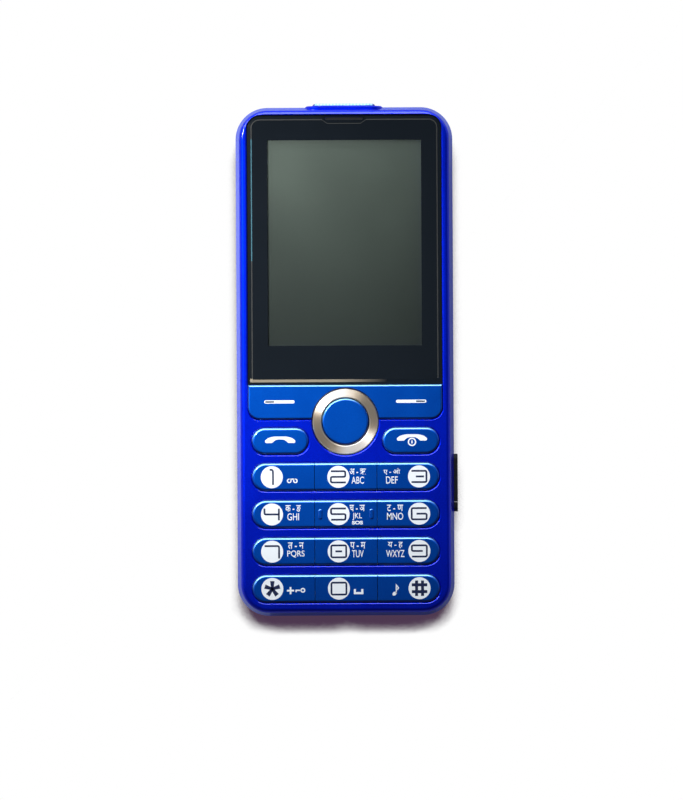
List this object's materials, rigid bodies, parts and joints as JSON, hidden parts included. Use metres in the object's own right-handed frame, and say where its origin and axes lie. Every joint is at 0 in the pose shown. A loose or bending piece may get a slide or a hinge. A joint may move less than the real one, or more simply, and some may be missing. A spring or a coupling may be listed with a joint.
{
  "type": "feature phone",
  "caption": "Candy-bar keypad phone with a small colour display, a torch on the top end, sprung keys, a tilting navigation ring and a sliding battery door.",
  "frame": {"origin": "centre of the flat back, on the surface that the phone lies on", "axes": "+X to the user's right across the phone, +Y towards the torch end, +Z out of the screen"},
  "size_m": [0.0527, 0.1223, 0.0145],
  "materials": {
    "body_paint": "metallic blue lacquer under clear gloss",
    "key_paint": "painted hard keycap under clear gloss",
    "door_paint": "metallic blue lacquer under clear gloss",
    "lens_black": "black back-printed clear lens",
    "panel_glass": "unlit display panel",
    "plated_ring": "rose-champagne plating, spun",
    "black_rubber": "matt black rubber",
    "silicone": "translucent silicone",
    "torch_clear": "clear moulded lens",
    "lamp_chip": "white lamp chip",
    "board_green": "solder mask",
    "sheet_steel": "pressed sheet",
    "screw_steel": "black oxide screw",
    "contact_gold": "gold flash",
    "black_mesh": "woven mesh",
    "black_plastic": "moulded",
    "foam": "closed-cell foam",
    "adhesive": "double-sided tape",
    "film": "polyester film with steel domes",
    "battery_wrap": "printed wrap, left bare",
    "camera_glass": "dark window",
    "motor_steel": "drawn can",
    "tungsten": "sintered weight"
  },
  "bodies": {
    "phone": {"front_cover": "body_paint", "rear_housing": "body_paint", "display_lens": "lens_black", "lens_adhesive": "adhesive", "lcd_gasket": "foam", "lcd_panel": "panel_glass", "lcd_tray": "sheet_steel", "earpiece_mesh": "black_mesh", "earpiece_receiver": "black_plastic", "keypad_web": "silicone", "dome_sheet": "film", "main_board": "board_green", "keypad_lamps": "lamp_chip", "shield_can": "sheet_steel", "torch_lamps": "lamp_chip", "torch_lens": "torch_clear", "loudspeaker": "black_plastic", "speaker_mesh": "black_mesh", "camera_module": "black_plastic", "camera_window": "camera_glass", "vibration_motor": "motor_steel", "microphone": "motor_steel", "headset_socket": "black_plastic", "usb_socket": "sheet_steel", "flap_anchor": "black_rubber", "battery": "battery_wrap", "battery_contacts": "contact_gold", "sim_holder_1": "sheet_steel", "sim_holder_2": "sheet_steel", "memory_card_holder": "sheet_steel", "antenna": "sheet_steel", "housing_screws": "screw_steel"},
    "key_1": {"key_1": "key_paint"},
    "key_2": {"key_2": "key_paint"},
    "key_3": {"key_3": "key_paint"},
    "key_4": {"key_4": "key_paint"},
    "key_5": {"key_5": "key_paint"},
    "key_6": {"key_6": "key_paint"},
    "key_7": {"key_7": "key_paint"},
    "key_8": {"key_8": "key_paint"},
    "key_9": {"key_9": "key_paint"},
    "key_star": {"key_star": "key_paint"},
    "key_0": {"key_0": "key_paint"},
    "key_hash": {"key_hash": "key_paint"},
    "call_key": {"call_key": "key_paint"},
    "end_key": {"end_key": "key_paint"},
    "ok_key": {"ok_key": "key_paint"},
    "soft_key_bar": {"soft_key_bar": "key_paint"},
    "nav_rocker": {"nav_pad": "silicone"},
    "nav_ring": {"nav_ring": "plated_ring"},
    "port_flap": {"port_flap": "black_rubber"},
    "battery_door": {"battery_door": "door_paint"},
    "vibration_weight": {"vibration_weight": "tungsten"}
  },
  "joints": [
    {"name": "key_1_press", "type": "slide", "parent": "phone", "child": "key_1", "axis": [0, 0, -1], "range_m": [0, 0.0003], "stiffness_N_per_m": 900},
    {"name": "key_2_press", "type": "slide", "parent": "phone", "child": "key_2", "axis": [0, 0, -1], "range_m": [0, 0.0003], "stiffness_N_per_m": 900},
    {"name": "key_3_press", "type": "slide", "parent": "phone", "child": "key_3", "axis": [0, 0, -1], "range_m": [0, 0.0003], "stiffness_N_per_m": 900},
    {"name": "key_4_press", "type": "slide", "parent": "phone", "child": "key_4", "axis": [0, 0, -1], "range_m": [0, 0.0003], "stiffness_N_per_m": 900},
    {"name": "key_5_press", "type": "slide", "parent": "phone", "child": "key_5", "axis": [0, 0, -1], "range_m": [0, 0.0003], "stiffness_N_per_m": 900},
    {"name": "key_6_press", "type": "slide", "parent": "phone", "child": "key_6", "axis": [0, 0, -1], "range_m": [0, 0.0003], "stiffness_N_per_m": 900},
    {"name": "key_7_press", "type": "slide", "parent": "phone", "child": "key_7", "axis": [0, 0, -1], "range_m": [0, 0.0003], "stiffness_N_per_m": 900},
    {"name": "key_8_press", "type": "slide", "parent": "phone", "child": "key_8", "axis": [0, 0, -1], "range_m": [0, 0.0003], "stiffness_N_per_m": 900},
    {"name": "key_9_press", "type": "slide", "parent": "phone", "child": "key_9", "axis": [0, 0, -1], "range_m": [0, 0.0003], "stiffness_N_per_m": 900},
    {"name": "key_star_press", "type": "slide", "parent": "phone", "child": "key_star", "axis": [0, 0, -1], "range_m": [0, 0.0003], "stiffness_N_per_m": 900},
    {"name": "key_0_press", "type": "slide", "parent": "phone", "child": "key_0", "axis": [0, 0, -1], "range_m": [0, 0.0003], "stiffness_N_per_m": 900},
    {"name": "key_hash_press", "type": "slide", "parent": "phone", "child": "key_hash", "axis": [0, 0, -1], "range_m": [0, 0.0003], "stiffness_N_per_m": 900},
    {"name": "call_key_press", "type": "slide", "parent": "phone", "child": "call_key", "axis": [0, 0, -1], "range_m": [0, 0.0003], "stiffness_N_per_m": 900},
    {"name": "end_key_press", "type": "slide", "parent": "phone", "child": "end_key", "axis": [0, 0, -1], "range_m": [0, 0.0003], "stiffness_N_per_m": 900},
    {"name": "ok_key_press", "type": "slide", "parent": "phone", "child": "ok_key", "axis": [0, 0, -1], "range_m": [0, 0.0003], "stiffness_N_per_m": 900},
    {"name": "soft_key_rock", "type": "hinge", "parent": "phone", "child": "soft_key_bar", "pos_m": [0, -0.00967, 0.0126], "axis": [0, 1, 0], "range_deg": [-0.7, 0.7], "stiffness_Nm_per_rad": 3},
    {"name": "nav_tilt_up_down", "type": "hinge", "parent": "phone", "child": "nav_rocker", "pos_m": [0, -0.01435, 0.0124], "axis": [1, 0, 0], "range_deg": [-1.6, 1.6], "stiffness_Nm_per_rad": 0.5},
    {"name": "nav_tilt_left_right", "type": "hinge", "parent": "nav_rocker", "child": "nav_ring", "pos_m": [0, -0.01435, 0.0124], "axis": [0, 1, 0], "range_deg": [-1.6, 1.6], "stiffness_Nm_per_rad": 0.5},
    {"name": "port_flap_swing", "type": "hinge", "parent": "phone", "child": "port_flap", "pos_m": [0.0268, -0.0338, 0.00605], "axis": [0, 0, -1], "range_deg": [0, 100]},
    {"name": "battery_door_slide", "type": "slide", "parent": "phone", "child": "battery_door", "axis": [0, -1, 0], "range_m": [0, 0.009]},
    {"name": "vibration_weight_spin", "type": "hinge", "parent": "phone", "child": "vibration_weight", "pos_m": [0.016, 0.0365, 0.0034], "axis": [1, 0, 0], "continuous": true}
  ]
}
